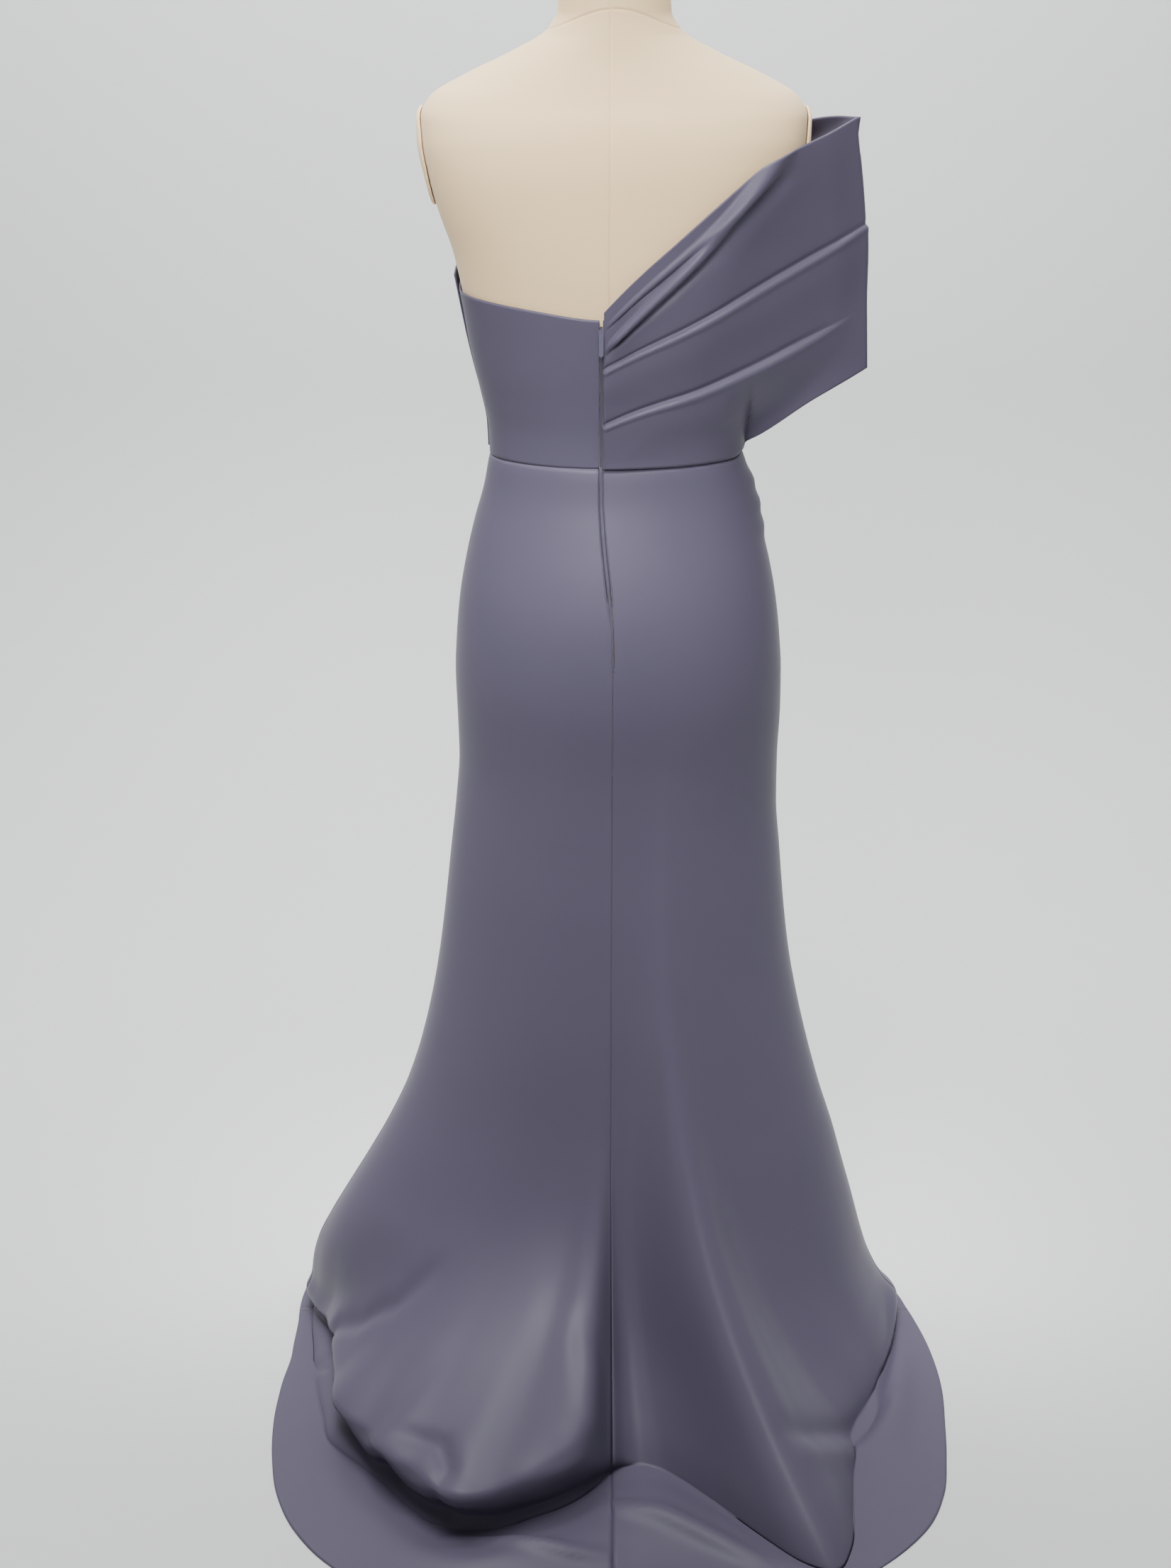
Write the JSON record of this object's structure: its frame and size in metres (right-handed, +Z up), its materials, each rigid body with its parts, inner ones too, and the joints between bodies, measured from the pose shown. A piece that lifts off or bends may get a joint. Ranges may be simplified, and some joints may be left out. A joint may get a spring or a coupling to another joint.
{
  "type": "one-shoulder dress on a dress form",
  "caption": "Fitted trumpet dress with a pleated off-the-shoulder drape over the right arm and a short train, worn by a limbless linen dress form.",
  "frame": {"origin": "on the floor, under the middle of the form's round base", "axes": "+Z up; the dress faces -Y and its train lies towards +Y; the wearer's left is +X and the shoulder drape is at -X"},
  "size_m": [0.7304, 0.8081, 1.5113],
  "materials": {
    "heavy_satin": "heavy dull satin, dusty purple grey",
    "form_linen": "cream linen stretched over padding",
    "black_enamel": "black enamel on iron",
    "steel_tube": "brushed steel tube",
    "zip_coil": "nylon coil dyed to match the cloth",
    "zip_metal": "enamelled metal to match the cloth"
  },
  "bodies": {
    "dress_on_form": {"skirt_front": "heavy_satin", "skirt_back_left": "heavy_satin", "skirt_back_right": "heavy_satin", "bodice_front": "heavy_satin", "bodice_back_left": "heavy_satin", "bodice_back_right": "heavy_satin", "shoulder_drape": "heavy_satin", "form_body": "form_linen", "arm_plate_left": "form_linen", "arm_plate_right": "form_linen", "neck_cap": "black_enamel", "form_socket": "black_enamel", "pole": "steel_tube", "base": "black_enamel", "zip_chain": "zip_coil", "zip_slider": "zip_metal"},
    "zip_pull": {"zip_tab": "zip_metal"}
  },
  "joints": [
    {"name": "zip_tab_swing", "type": "hinge", "parent": "dress_on_form", "child": "zip_pull", "pos_m": [0.01219, 0.10252, 1.154], "axis": [1, 0, 0], "range_deg": [0, 150]}
  ]
}
